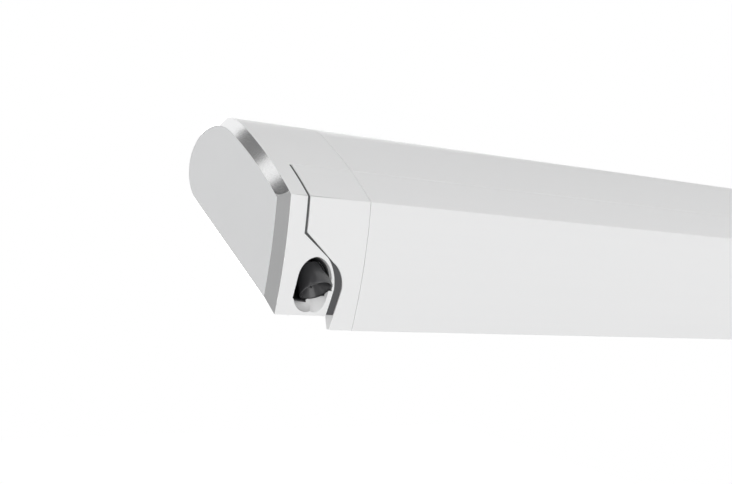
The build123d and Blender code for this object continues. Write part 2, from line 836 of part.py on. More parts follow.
def forearm_tube():
    return arm_tube(block_end, elbow[0] - block_end, fore_line)


def shoulder_knuckle():
    return tongue((0, 0), upper_line, 1)


def elbow_tongue():
    return tongue(elbow, fore_line, -1)


def wrist_knuckle():
    return tongue(wrist, fore_line, 1)


def arm_spring():
    """The tension spring in the upper tube, as the sleeve that its turns fill."""
    middle = Plane(
        origin=arm_plane.from_local_coords((spring_start, upper_line, 0)), x_dir=arm_plane.z_dir, z_dir=(1, 0, 0)
    )
    radius = tube_width / 2 - tube_wall - fit
    return pin(middle, radius, 0, spring_length) - pin(middle, radius - spring_wall, -overrun, far + far)


bracket_x = arm_plane.origin.X - bracket_back - bracket_wall
bracket_high_x = bracket_x + bracket_foot_length


def fork_plan(centre):
    """A bracket's ears and the wall that joins them, open towards the folded arm."""
    reach = patch(
        centre[0] - bracket_back - bracket_wall, centre[0], centre[1] - eye_boss_radius, centre[1] + eye_boss_radius
    )
    wall = patch(
        centre[0] - bracket_back - bracket_wall, centre[0] - bracket_back,
        centre[1] - eye_boss_radius, centre[1] + eye_boss_radius
    )
    return both_ears(eye_face(centre) + reach) + plate(wall, -arm_half, arm_half)


def shoulder_bracket():
    room = outline(case_wall)
    column = patch(
        shoulder_y - eye_boss_radius, shoulder_y + eye_boss_radius, 0, shoulder_z - tongue_half
    )
    foot = (room - outline(case_wall + plate_thickness)) & patch(
        shoulder_y - eye_boss_radius, shoulder_y + bracket_foot_reach, 0, shoulder_z
    )
    part = fork_plan((0, 0)) + slab(room & column, bracket_x, bracket_x + bracket_wall)
    part = part & slab(room, -half, half)
    part += slab(foot, bracket_x, bracket_high_x)
    for seat in bracket_seats():
        part -= pin(seat, screw_hole_radius, -overrun, through)
    return part


def wrist_bracket():
    room = rail_outline(rail_wall)
    wrist_y = shoulder_y - wrist_lead * cos(pitch)
    wrist_z = shoulder_z - wrist_lead * sin(pitch)
    column = patch(-far, wrist_y, wrist_z - arm_half + pin_head, wrist_z + arm_half - pin_head)
    foot = (room - rail_outline(rail_wall + plate_thickness)) & patch(
        -far, wrist_y, wrist_z - arm_half + pin_head, wrist_z + arm_half
    )
    part = fork_plan(wrist) + slab(room & column, bracket_x, bracket_x + bracket_wall)
    part += slab(foot, bracket_x, bracket_high_x)
    return bored(part, wrist)


# Screws through plates that lie on the sloping underside


def underside_plane(x, y, lift, direction):
    """A plane on the underside at depth y, lift above it, facing out (+1) or in (-1)."""
    z = underside_z(y)
    origin = (x, y - lift * sin(underside_angle), z + lift * cos(underside_angle))
    normal = (0, direction * sin(underside_angle), -direction * cos(underside_angle))
    return Plane(origin=origin, x_dir=(1, 0, 0), z_dir=normal)


def bracket_seats():
    lift = case_wall + plate_thickness
    inset = (bracket_foot_length - bracket_screw_spacing) / 2
    y = shoulder_y + bracket_screw_reach
    return [underside_plane(x, y, lift, 1) for x in (bracket_x + inset, bracket_high_x - inset)]


adapter_x = case_length * adapter_share
adapter_places = (-adapter_x, 0, adapter_x)


def adapter_seats():
    seats = []
    for x in adapter_places:
        for side in (-1, 1):
            seats.append(underside_plane(x + side * adapter_screw_spacing / 2, adapter_screw_y, -plate_thickness, -1))
    return seats


def wall_screws():
    """The screws of the shoulder brackets and of the roof adapters, all alike."""
    length = plate_thickness + case_wall
    screws = [screw(seat, length) for seat in bracket_seats()]
    screws += [mirror(one, about=Plane.YZ) for one in screws]
    screws += [screw(seat, length) for seat in adapter_seats()]
    return Compound(children=screws)


def tie_screws():
    """Long screws from each end wall, through the end cap, into the housing."""
    screws = []
    for y, z in ports:
        seat = Plane(origin=(-half + screw_head, y, z), x_dir=(0, 1, 0), z_dir=(1, 0, 0))
        screws.append(screw(seat, tie_screw_length))
    screws += [mirror(one, about=Plane.YZ) for one in screws]
    return Compound(children=screws)


def gearbox_screws():
    screws = []
    for y, z in gearbox_posts:
        seat = Plane(origin=(-half, y, z), x_dir=(0, 1, 0), z_dir=(1, 0, 0))
        screws.append(screw(seat, gearbox_end - gearbox_wall + half))
    return Compound(children=screws)


# Lead rail


def rail_section():
    room = rail_outline(rail_wall)
    skin = (rail_outline() - room) & patch(-far, lip_reach, -rail_drop, far)
    back = channel_back + channel_wall
    frame = patch(-far, back, channel_roof, channel_roof + channel_wall)
    frame += patch(channel_back, back, channel_back_foot, channel_roof + channel_wall)
    frame += patch(-far, brace_depth, brace_height, brace_height + channel_wall)
    frame += patch(brace_depth - channel_wall, brace_depth, brace_height, far)
    groove = keder_radius + fit
    frame += patch(keder_y - channel_wall / 2, keder_y + channel_wall / 2, keder_z + keder_radius, far)
    frame += Pos(keder_y, keder_z) * Circle(groove + keder_wall)
    frame -= Pos(keder_y, keder_z) * Circle(groove)
    mouth = (keder_y + through / 2 * cos(slot_turn), keder_z + through / 2 * sin(slot_turn))
    frame -= bar((keder_y, keder_z), mouth, 2 * keder_wall)
    return skin + (frame & room)


def lead_rail():
    return slab(rail_section(), -half + cap_length, half - cap_length)


def front_keder():
    keder = Pos(keder_y, keder_z) * Circle(keder_radius)
    low = -half + cap_length
    return slab(keder, low, -low)


def left_rail_cap():
    """The moving cap: skin, a wall along the split, and the toe below the fixed cap."""
    zone = Pos(seam, 0, 0) * split_zone(rail_edge_shares, split_top, cap_length + overrun, -rail_drop)
    window = patch(-far, lip_reach, -far, far)
    skin = slab((rail_outline() - rail_outline(cap_wall)) & window, -half, -half + cap_length)
    depth = slab((rail_outline() - rail_outline(strip_depth)) & window, -half, -half + cap_length)
    side = depth - Pos(plug_skin, 0, 0) * zone
    foot_y = front_y(-rail_drop)
    toe = polygon((foot_y - overrun, -rail_drop), (foot_y, -rail_drop), (toe_depth, 0), (toe_depth, toe_height),
                  (foot_y - overrun, toe_height)) & rail_outline()
    part = zone & (skin + side + slab(toe, -half, -half + cap_length))
    under = polygon((foot_y + cap_wall, -far), (foot_y + cap_wall, -rail_drop), (toe_depth, 0), (far, 0), (far, -far))
    part -= slab(under, -half, 0)
    plug_window = patch(-far, far, plug_skin, channel_roof - plug_skin)
    band = (rail_outline(rail_wall + fit) - rail_outline(rail_wall + fit + plug_skin)) & plug_window
    root = (rail_outline(rail_wall / 2) - rail_outline(rail_wall + fit + plug_skin)) & plug_window
    part += slab(band, -half + cap_length, -half + cap_length + plug_reach)
    return part + slab(root, -half + cap_length - plug_reach, -half + cap_length)


# Support legs, stored in the rail's channel


def leg_box(width, height, x0, x1):
    return slab(Pos(leg_first_y, leg_z) * Rectangle(width, height), x0, x1)


leg_length = case_length * leg_share
leg_slide = leg_length - leg_hold
pivot_x = -half + leg_pivot_x
leg_end = pivot_x + leg_length
lock_x = leg_end - lock_thickness * 2
lock_z = leg_z - leg_height / 2 - lock_thickness
lock_hub = lock_thickness - play
lock_width = leg_width - 2 * (leg_wall + play) - fit


def across(x, z, radius, width, y=leg_first_y):
    """A round rod across the leg, centred on depth y."""
    plane = Plane(origin=(x, y, z), x_dir=(1, 0, 0), z_dir=(0, -1, 0))
    return pin(plane, radius, -width / 2, width / 2)


def leg_tube():
    start = pivot_x + leg_height
    body = leg_box(leg_width, leg_height, pivot_x, leg_end) + across(pivot_x, leg_z, leg_height / 2, leg_width)
    body -= leg_box(leg_width - 2 * leg_wall, leg_height - 2 * leg_wall, start, leg_end + overrun)
    body -= across(pivot_x, leg_z, leg_pin_radius + running, leg_width + overrun)
    ear = across(lock_x, lock_z, lock_thickness, leg_width)
    ear += block(lock_x - lock_thickness, lock_x + lock_thickness, leg_first_y - leg_width / 2,
                 leg_first_y + leg_width / 2, lock_z, leg_z - leg_height / 2)
    gap = leg_width - 2 * leg_wall
    ear -= block(lock_x - lock_length, leg_end, leg_first_y - gap / 2, leg_first_y + gap / 2,
                 lock_z - lock_length, leg_z - leg_height / 2)
    ear -= across(lock_x, lock_z, lock_pin_radius + running, leg_width + overrun)
    return body + ear


def leg_inner():
    width = leg_width - 2 * leg_wall - 2 * fit
    height = leg_height - 2 * leg_wall - 2 * fit
    low = leg_end - leg_slide - leg_overlap
    tube = leg_box(width, height, low, leg_end + leg_overlap_out)
    return tube - leg_box(width - 2 * leg_wall, height - 2 * leg_wall, low - overrun, leg_end + far)


def leg_foot():
    """The foot, a shoe pushed over the end of the inner tube."""
    width = leg_width - 2 * leg_wall - 2 * fit
    height = leg_height - 2 * leg_wall - 2 * fit
    shoe = leg_box(leg_width, leg_height, leg_end + play, leg_end + foot_length)
    shoe -= leg_box(width, height, leg_end - overrun, leg_end + leg_overlap_out)
    return shoe - across(leg_end + foot_length * 2 / 3, leg_z, leg_pin_radius, leg_width + overrun)


def leg_lock():
    """The lever that clamps the inner tube, folded along the tube's underside."""
    top = leg_z - leg_height / 2 - play
    arm = block(lock_x - lock_length, lock_x, leg_first_y - lock_width / 2, leg_first_y + lock_width / 2,
                top - lock_thickness, top)
    hub = across(lock_x, lock_z, lock_hub, lock_width)
    return arm + hub + across(lock_x, lock_z, lock_pin_radius, leg_width)


def leg_pin():
    room = slab(rail_outline(rail_wall), -half, 0)
    plane = Plane(origin=(pivot_x, channel_back, leg_z), x_dir=(1, 0, 0), z_dir=(0, -1, 0))
    return pin(plane, leg_pin_radius, 0, through) & room


def other_leg(part):
    """The right leg's piece: the left one's mirror image, in the lane behind."""
    return Pos(0, leg_lane, 0) * mirror(part, about=Plane.YZ)


# Roof adapters


def roof_adapter(x):
    """A cradle under the case, with a foot that stands on the vehicle's roof."""
    low = x - adapter_length / 2
    high = x + adapter_length / 2
    foot_top = adapter_foot_z + plate_thickness
    foot_middle = adapter_foot_z + plate_thickness / 2
    core = outline(-plate_thickness / 2)
    cradle = (outline(-plate_thickness) - outline(-fit)) & patch(adapter_front, far, 0, back_z)
    foot = patch(adapter_foot_front, adapter_foot_back, adapter_foot_z, foot_top) - core
    part = slab(cradle, low, high) + slab(foot, low, high)
    rib = polygon(
        (low_tangent[0], foot_middle), (adapter_hole_y - port_radius * 2, foot_middle),
        (case_depth + plate_thickness / 2, back_z - plate_thickness), (back_y, back_z - plate_thickness)
    ) - core
    for side in (-1, 1):
        middle = x + side * adapter_rib_spacing / 2
        part += slab(rib, middle - adapter_rib / 2, middle + adapter_rib / 2)
        hole = Plane(origin=(x + side * adapter_hole_spacing / 2, adapter_hole_y, adapter_foot_z))
        part -= pin(hole, adapter_hole_radius, -overrun, plate_thickness + overrun)
    for seat in adapter_seats():
        part -= pin(seat, screw_hole_radius, -overrun, through)
    return part


def drilled_housing():
    """The housing with the holes for the brackets' and the adapters' screws."""
    housing = rear_housing()
    for seat in bracket_seats():
        hole = pin(seat, screw_radius + running, -overrun, plate_thickness + case_wall + overrun)
        housing -= hole
        housing -= mirror(hole, about=Plane.YZ)
    for seat in adapter_seats():
        housing -= pin(seat, screw_radius + running, -overrun, plate_thickness + case_wall + overrun)
    return housing


def save(name, part):
    """Writes a piece, moved so that the centre adapter's foot is the origin."""
    shifted = Pos(0, -adapter_hole_y, -adapter_foot_z) * part
    export_step(shifted, f"parts/{name}.step")


def save_pair(name, part, reflect=lambda part: mirror(part, about=Plane.YZ)):
    save(f"left_{name}", part)
    save(f"right_{name}", reflect(part))


def group(*parts):
    return Compound(children=list(parts))


def with_mirror(part):
    return group(part, mirror(part, about=Plane.YZ))


os.makedirs("parts", exist_ok=True)

save("rear_housing", drilled_housing())
save("left_end_cap", left_end_cap())
save("right_end_cap", right_end_cap())
save_pair("cover_plate", cover_plate())
save_pair("trim_rim", trim_rim())
save("cap_strips", with_mirror(cap_strip()))
save("winch_well", winch_well())
save("gearbox_housing", gearbox_housing())
save("gearbox_cover", gearbox_cover())
save("worm_bushes", worm_bushes())
save("idler_bearing", idler_bearing())
save_pair("shoulder_bracket", bored(shoulder_bracket(), (0, 0)))
save("shoulder_pins", with_mirror(hinge_pin((0, 0))))
save("roof_adapters", group(*(roof_adapter(x) for x in adapter_places)))
save("tie_screws", tie_screws())
save("gearbox_screws", gearbox_screws())
save("wall_screws", wall_screws())
save("lip_seal", lip_seal())

save("worm_shaft", worm_shaft())
save("crank_eye", crank_eye())
save("roller_tube", roller_tube())
save("drive_plug", drive_plug())
save("idler_plug", idler_plug())
save("worm_wheel", worm_wheel())
save("fabric_roll", fabric_roll())
save("canopy_web", canopy_web())

save_pair("upper_tube", upper_tube())
save_pair("shoulder_knuckle", shoulder_knuckle())
save_pair("elbow_fork", elbow_fork())
save_pair("elbow_pin", hinge_pin(elbow))
save_pair("arm_spring", arm_spring())
save_pair("forearm_tube", forearm_tube())
save_pair("elbow_tongue", elbow_tongue())
save_pair("wrist_knuckle", wrist_knuckle())

save("lead_rail", lead_rail())
save_pair("rail_cap", left_rail_cap())
save("wrist_brackets", with_mirror(wrist_bracket()))
save("wrist_pins", with_mirror(hinge_pin(wrist)))
save("front_keder", front_keder())
save("leg_pivot_pins", with_mirror(leg_pin()))
save_pair("leg_tube", leg_tube(), other_leg)
save_pair("leg_inner", leg_inner(), other_leg)
save_pair("leg_foot", leg_foot(), other_leg)
save_pair("leg_lock", leg_lock(), other_leg)


def place(name, x, y, z):
    """Prints a joint's place in metres, in the finished part's frame."""
    metre = 1000
    print(name, [round(v / metre, 6) for v in (x, y - adapter_hole_y, z - adapter_foot_z)])


place("shoulder", *arm_plane.origin)
place("elbow", *arm_plane.from_local_coords((*elbow, 0)))
place("wrist", *arm_plane.from_local_coords((*wrist, 0)))
place("crank", *eye_centre)
place("roller", 0, roller_y, roller_z)
place("leg pivot", pivot_x, leg_first_y, leg_z)
place("lock", lock_x, leg_first_y, lock_z)
print("arm opens by", degrees(arm_end_angle - rest_lean), "degrees; pitch", degrees(pitch))
print("crank axis", crank_axis, "lane", leg_lane, "slide", leg_slide, "worm radius", worm_pitch_radius)
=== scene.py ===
import json
from math import cos, hypot, pi, radians, sin

import bmesh
import bpy
from mathutils import Matrix, Vector


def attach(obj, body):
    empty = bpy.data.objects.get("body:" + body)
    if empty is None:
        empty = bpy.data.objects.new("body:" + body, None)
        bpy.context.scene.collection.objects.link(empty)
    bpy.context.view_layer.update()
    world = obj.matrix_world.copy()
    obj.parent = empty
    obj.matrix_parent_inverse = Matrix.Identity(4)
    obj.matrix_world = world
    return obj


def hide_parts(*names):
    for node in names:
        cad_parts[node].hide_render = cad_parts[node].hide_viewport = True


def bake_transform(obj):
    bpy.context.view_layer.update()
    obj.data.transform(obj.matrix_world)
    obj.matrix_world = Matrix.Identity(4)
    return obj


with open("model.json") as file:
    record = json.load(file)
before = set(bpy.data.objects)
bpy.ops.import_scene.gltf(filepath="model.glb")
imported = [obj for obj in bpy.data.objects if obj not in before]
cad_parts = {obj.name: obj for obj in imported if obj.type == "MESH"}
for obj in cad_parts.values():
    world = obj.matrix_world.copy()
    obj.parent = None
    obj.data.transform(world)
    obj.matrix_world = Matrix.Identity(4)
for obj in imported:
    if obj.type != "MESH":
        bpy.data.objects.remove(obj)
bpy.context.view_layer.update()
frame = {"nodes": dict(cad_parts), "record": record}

scene = bpy.context.scene

# Camera
camera_place = (-2.102, -1.1135, 0.1057)
camera_ahead = (0.6871, 0.7231, -0.0709)
camera_up = (-0.0559, 0.1498, 0.9871)
camera_lens = 76.23
camera_sensor = 36.0

# Studio
white = (1, 1, 1, 1)
room_light = 0.43
room_seen = 1.0
# name, where its light comes from, strength, how wide it looks
lamps = (
    ("window", (-0.30, -0.94, -0.16), 2.35, radians(80.0)),
    ("side_window", (-1.0, 0.0, 0.05), 0.38, radians(60.0)),
    ("back_window", (0.35, 0.9, 0.15), 0.9, radians(60.0)),
)
# Cards round the object, seen only in its reflections: name, glow, a corner, and the two edges from it
cards = (
    ("dark_card_front", 0.17, (-2.6, -0.55, 1.41), (1.25, 0.0, 0.0), (0.0, 0.50, 0.0)),
    ("dark_card_back", 0.22, (-2.6, 0.13, 1.41), (1.25, 0.0, 0.0), (0.0, 0.27, 0.0)),
    ("grey_card", 0.42, (-3.6, -0.74, -1.2), (1.4, -2.16, 0.0), (0.0, 0.0, 3.6)),
)
floor_height = -2.6
floor_half = 9.0
floor_paint = (0.9, 0.9, 0.9, 1)
floor_glow_share = 0.75
floor_glow = 1.18

# Edges of the finished pieces
weld = 0.000002  # points nearer than this become one
same_plane = radians(0.2)  # faces that turn by less than this are one flat
edge_corner = radians(38.0)  # edges that turn by more than this are eased
edge_segments = 3
crisp = radians(50.0)  # edges that turn by more than this stay sharp in the shading
case_edge = 0.0004
strip_edge = 0.0003
rim_edge = 0.00012
cup_edge = 0.0006

# Joint lines between the caps and the extrusions
joint_gap = 0.0006
lip_gap = 0.0005
lip_from = 0.05  # the rail caps' top lips lie above this height
near = 0.00006  # a point this near a joint face is on it

# Cloth. Places are (y, z) in a section through the awning.
roller_centre = (-0.080, 0.051)
wound_inner = 0.0273
wound_outer = 0.033207
wound_turns = 10.66
lift_angle = radians(108.48)  # where the cloth leaves the roll
cloth_bend = (-0.1415, 0.065455)  # under the lip seal
cloth_hem = (-0.153592, 0.053400)  # at the lead rail's groove
cloth_half = 1.218
cloth_thickness = 0.0004
cloth_out = 2.0  # what the lead rail draws off the roll
rows_per_turn = 40
free_rows = 8  # from the roll to the bend
span_rows = 48  # from the bend to the hem
cloth_columns = 12
cord_centre = (-0.156, 0.051)
cord_radius = 0.0029
cord_half = 1.2115
cord_facets = 20

# How a pattern is drawn out: the smaller the number, the longer along that axis
even = (1.0, 1.0, 1.0)
along_case = (0.01, 1.0, 1.0)
along_die = (0.004, 1.0, 1.0)
along_mould = (0.35, 1.0, 1.0)
round_axis = (1.0, 0.03, 0.03)

# Roughness where the recipe sets it, and the cloth's pattern
coat_roughness = 0.30
cast_roughness = 0.38
cloth_roughness = 0.72
cloth_sheen = 0.15
thread = 0.0011
slubs_per_metre = 120.0
fading_per_metre = 2.5

# Sockets of a Mix node that mixes colours
mix_amount, mix_low, mix_high, mix_result = 0, 6, 7, 2


class Level:
    """A socket's value, on which arithmetic can be written."""

    def __init__(self, graph, socket):
        self.graph = graph
        self.socket = socket

    def work(self, operation, first, second=0.0):
        return self.graph.node("ShaderNodeMath", {"operation": operation}, {0: first, 1: second})

    def __add__(self, other):
        return self.work("ADD", self, other)

    def __mul__(self, other):
        return self.work("MULTIPLY", self, other)

    def __rsub__(self, other):
        return self.work("SUBTRACT", other, self)

    def sine(self):
        return self.work("SINE", self)

    __radd__ = __add__
    __rmul__ = __mul__


class Graph:
    """A node tree that is filled one node at a time."""

    def __init__(self, owner):
        owner.use_nodes = True
        self.tree = owner.node_tree
        self.tree.nodes.clear()

    def node(self, kind, settings=None, sockets=None, output=0):
        made = self.tree.nodes.new(kind)
        for name, value in (settings or {}).items():
            setattr(made, name, value)
        for name, value in (sockets or {}).items():
            if isinstance(value, Level):
                self.tree.links.new(value.socket, made.inputs[name])
            else:
                made.inputs[name].default_value = value
        return Level(self, made.outputs[output]) if len(made.outputs) else made


def tint(graph, amount, low, high):
    """A colour between two, by amount."""
    sockets = {mix_amount: amount, mix_low: (*low, 1), mix_high: (*high, 1)}
    return graph.node("ShaderNodeMix", {"data_type": "RGBA"}, sockets, mix_result)


def noise(graph, where, scale, detail):
    sockets = {"Vector": where, "Scale": scale, "Detail": detail}
    return graph.node("ShaderNodeTexNoise", sockets=sockets)


def mottle(graph, size, detail=2.0, stretch=even):
    """Soft patches about size metres across."""
    spot = graph.node("ShaderNodeTexCoord", output="Object")
    drawn = graph.node("ShaderNodeMapping", sockets={"Vector": spot, "Scale": stretch})
    return noise(graph, drawn, 1 / size, detail)


def relief(graph, height, depth):
    """A bumpy skin, depth metres deep."""
    sockets = {"Height": height, "Distance": depth, "Strength": 1.0}
    return graph.node("ShaderNodeBump", sockets=sockets)


def powder_coat(graph, colour, shade):
    """Baked powder on an extrusion: orange peel, dust and faint drawing lines along its length."""
    peel = mottle(graph, size=0.0018)
    dust = mottle(graph, size=0.0003)
    drawn = mottle(graph, size=0.005, stretch=along_die)
    cloud = mottle(graph, size=0.35)
    return {
        "Base Color": tint(graph, cloud * 0.6 + drawn * 0.4, shade, colour),
        "Roughness": cloud * 0.10 + peel * 0.06 + coat_roughness,
        "Normal": relief(graph, peel * 0.8 + dust * 0.2, depth=0.00004),
    }


def moulded(graph, colour, shade, grain, depth, roughness):
    """Moulded plastic with a spark eroded grain, flow streaks and handled patches."""
    grit = mottle(graph, size=grain, detail=3.0)
    flow = mottle(graph, size=0.03, stretch=along_mould)
    handled = mottle(graph, size=0.05)
    return {
        "Base Color": tint(graph, flow * 0.6 + grit * 0.4, shade, colour),
        "Roughness": handled * 0.14 + grit * 0.06 + roughness,
        "Normal": relief(graph, grit, depth),
    }


def satin_metal(graph, colour, shade, stretch, roughness):
    """Metal with fine lines, drawn out the way it was rolled, drawn or turned."""
    lines = mottle(graph, size=0.0008, detail=3.0, stretch=stretch)
    worn = mottle(graph, size=0.04)
    return {
        "Base Color": tint(graph, lines * 0.5 + worn * 0.5, shade, colour),
        "Metallic": 1.0,
        "Roughness": lines * 0.10 + worn * 0.06 + roughness,
        "Normal": relief(graph, lines, depth=0.000008),
    }


def die_cast(graph, colour, shade):
    """Cast metal as it leaves the die: a pebbled skin with duller patches."""
    skin = mottle(graph, size=0.0013, detail=4.0)
    patches = mottle(graph, size=0.018)
    return {
        "Base Color": tint(graph, patches * 0.7 + skin * 0.3, shade, colour),
        "Metallic": 1.0,
        "Roughness": patches * 0.18 + skin * 0.10 + cast_roughness,
        "Normal": relief(graph, skin, depth=0.00012),
    }


def woven(graph, colour, shade):
    """Coated cloth in plain weave. It follows the cut, in metres."""
    cut = graph.node("ShaderNodeUVMap", {"uv_map": "cut"})
    across = graph.node("ShaderNodeSeparateXYZ", sockets={0: cut}, output=0)
    along = graph.node("ShaderNodeSeparateXYZ", sockets={0: cut}, output=1)
    turns = 2 * pi / thread
    weave = (across * turns).sine() * (along * turns).sine() * 0.5 + 0.5
    slub = noise(graph, cut, slubs_per_metre, detail=4.0)
    faded = noise(graph, cut, fading_per_metre, detail=2.0)
    return {
        "Base Color": tint(graph, weave * 0.35 + slub * 0.35 + faded * 0.3, shade, colour),
        "Roughness": weave * 0.08 + faded * 0.08 + cloth_roughness,
        "Sheen Weight": cloth_sheen,
        "Normal": relief(graph, weave * 0.7 + slub * 0.3, depth=0.00012),
    }


finishes = {}


def add_finish(name, recipe, **look):
    """Makes the finish of one of the record's material slots."""
    made = bpy.data.materials.new(name)
    graph = Graph(made)
    shader = graph.node("ShaderNodeBsdfPrincipled", sockets=recipe(graph, **look))
    graph.node("ShaderNodeOutputMaterial", sockets={"Surface": shader})
    finishes[name] = made


add_finish("white_case", powder_coat, colour=(0.87, 0.87, 0.87), shade=(0.845, 0.848, 0.852))
add_finish("white_cap", moulded, colour=(0.88, 0.88, 0.88), shade=(0.855, 0.858, 0.86),
           grain=0.0007, depth=0.00003, roughness=0.36)
add_finish("grey_cover", moulded, colour=(0.86, 0.865, 0.87), shade=(0.83, 0.835, 0.84),
           grain=0.0006, depth=0.00003, roughness=0.34)
add_finish("bright_trim", satin_metal, colour=(0.89, 0.892, 0.895), shade=(0.84, 0.842, 0.845),
           stretch=even, roughness=0.03)
add_finish("dark_trim", moulded, colour=(0.068, 0.068, 0.072), shade=(0.052, 0.052, 0.056),
           grain=0.0006, depth=0.00004, roughness=0.42)
add_finish("black_plastic", moulded, colour=(0.028, 0.028, 0.030), shade=(0.018, 0.018, 0.02),
           grain=0.0007, depth=0.00005, roughness=0.46)
add_finish("crank_grey", moulded, colour=(0.062, 0.062, 0.065), shade=(0.045, 0.045, 0.048),
           grain=0.0006, depth=0.00002, roughness=0.12)
add_finish("gear_plastic", moulded, colour=(0.17, 0.17, 0.18), shade=(0.12, 0.12, 0.13),
           grain=0.0009, depth=0.00006, roughness=0.48)
add_finish("bronze", satin_metal, colour=(0.62, 0.47, 0.24), shade=(0.50, 0.36, 0.17),
           stretch=round_axis, roughness=0.24)
add_finish("steel", satin_metal, colour=(0.58, 0.59, 0.61), shade=(0.46, 0.47, 0.49),
           stretch=round_axis, roughness=0.28)
add_finish("raw_aluminium", satin_metal, colour=(0.43, 0.435, 0.44), shade=(0.405, 0.41, 0.415),
           stretch=along_case, roughness=0.48)
add_finish("cast_arm", die_cast, colour=(0.67, 0.68, 0.69), shade=(0.54, 0.55, 0.56))
add_finish("cloth", woven, colour=(0.50, 0.52, 0.55), shade=(0.41, 0.43, 0.46))
add_finish("seal", moulded, colour=(0.035, 0.035, 0.035), shade=(0.022, 0.022, 0.022),
           grain=0.0005, depth=0.00004, roughness=0.55)

case_end = max(vert.co.x for vert in frame["nodes"]["rear_housing"].data.vertices)
lip_back = max(vert.co.y for vert in frame["nodes"]["left_rail_cap"].data.vertices)

body_of_node = {
    node: body for body, nodes in frame["record"]["behaviour"]["bodies"].items() for node in nodes
}
slot_of_node = {piece["node"]: piece["material_slot"] for piece in frame["record"]["subparts"]}


def coat(piece, slot):
    piece.data.materials.clear()
    piece.data.materials.append(finishes[slot])


def piece_of(name, work):
    mesh = bpy.data.meshes.new(name)
    work.to_mesh(mesh)
    work.free()
    piece = bpy.data.objects.new(name, mesh)
    scene.collection.objects.link(piece)
    return piece


def draw_back(work, node):
    """Opens the thin joint lines that show where the caps meet the extrusions."""
    if not node.endswith("_cap"):
        return
    for vert in work.verts:
        if abs(abs(vert.co.x) - case_end) < near:
            vert.co.x *= (case_end + joint_gap) / case_end
        if node.endswith("_rail_cap") and vert.co.z > lip_from and vert.co.y > lip_back - near:
            vert.co.y -= lip_gap


def finished(node, edge):
    """The node's shape as one skin with its corners eased, in place of the plain solid."""
    work = bmesh.new()
    work.from_mesh(frame["nodes"][node].data)
    bmesh.ops.remove_doubles(work, verts=work.verts, dist=weld)
    draw_back(work, node)
    bmesh.ops.dissolve_limit(work, angle_limit=same_plane, verts=work.verts, edges=work.edges)
    corners = [
        e for e in work.edges if len(e.link_faces) == 2 and e.calc_face_angle() > edge_corner
    ]
    bmesh.ops.bevel(
        work, geom=corners, offset=edge, segments=edge_segments, profile=0.5, affect="EDGES",
        material=-1, clamp_overlap=False
    )
    for face in work.faces:
        face.smooth = True
    piece = piece_of(node + "_finished", work)
    piece.data.set_sharp_from_angle(angle=crisp)
    even_shading = piece.modifiers.new("even_shading", "WEIGHTED_NORMAL")
    even_shading.keep_sharp = True
    coat(piece, slot_of_node[node])
    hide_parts(node)
    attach(piece, body_of_node[node])


eased = {
    case_edge: [
        "rear_housing", "lead_rail", "left_end_cap", "right_end_cap", "left_rail_cap",
        "right_rail_cap", "left_cover_plate", "right_cover_plate", "roof_adapters",
    ],
    strip_edge: ["cap_strips", "winch_well"],
    rim_edge: ["left_trim_rim", "right_trim_rim"],
    cup_edge: ["crank_eye"],
}
for side in ("left", "right"):
    eased[case_edge] += [
        side + tail for tail in (
            "_upper_tube", "_forearm_tube", "_shoulder_knuckle", "_elbow_fork", "_elbow_tongue",
            "_wrist_knuckle", "_leg_tube", "_leg_inner", "_leg_foot", "_leg_lock"
        )
    ]

# The soft nodes are replaced by the cloth and its cord, further down
dressed = {"fabric_roll", "canopy_web", "front_keder"}
for edge, nodes in eased.items():
    for node in nodes:
        finished(node, edge)
        dressed.add(node)
for node, solid in frame["nodes"].items():
    if node not in dressed:
        coat(solid, slot_of_node[node])


def cloth_route():
    """The cloth's points from the roller outwards, as (y, z, length along the cut)."""
    route = []
    run = 0.0
    steps = round(wound_turns * rows_per_turn)
    for step in range(steps + 1):
        share = step / steps
        angle = lift_angle - 2 * pi * wound_turns * (1 - share)
        radius = wound_inner + (wound_outer - wound_inner) * share
        y = roller_centre[0] + radius * cos(angle)
        z = roller_centre[1] + radius * sin(angle)
        route.append((y, z, run))
        run += 2 * pi * radius * wound_turns / steps
    for target, rows, extra in ((cloth_bend, free_rows, 0.0), (cloth_hem, span_rows, cloth_out)):
        y, z, run = route[-1]
        away = target[0] - y
        rise = target[1] - z
        reach = hypot(away, rise)
        for row in range(1, rows + 1):
            share = row / rows
            drawn = share * share * (3 - 2 * share) * extra
            route.append((y + away * share, z + rise * share, run + reach * share + drawn))
    return route


def canopy():
    """The cloth, one sheet from the roller's first turn to the hem."""
    route = cloth_route()
    last = len(route) - 1
    work = bmesh.new()
    bmesh.ops.create_grid(work, x_segments=cloth_columns, y_segments=last, size=1.0)
    cut = work.loops.layers.uv.new("cut")
    rows = {vert: round((vert.co.y + 1) / 2 * last) for vert in work.verts}
    for vert, row in rows.items():
        y, z, run = route[row]
        vert.co = (vert.co.x * cloth_half, y, z)
    for face in work.faces:
        face.smooth = True
        for loop in face.loops:
            loop[cut].uv = (loop.vert.co.x, route[rows[loop.vert]][2])
    sheet = piece_of("canopy_cloth", work)
    body = sheet.modifiers.new("thickness", "SOLIDIFY")
    body.thickness = cloth_thickness
    body.offset = 0.0
    coat(sheet, "cloth")
    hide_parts("canopy_web", "fabric_roll")
    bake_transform(sheet)
    return sheet


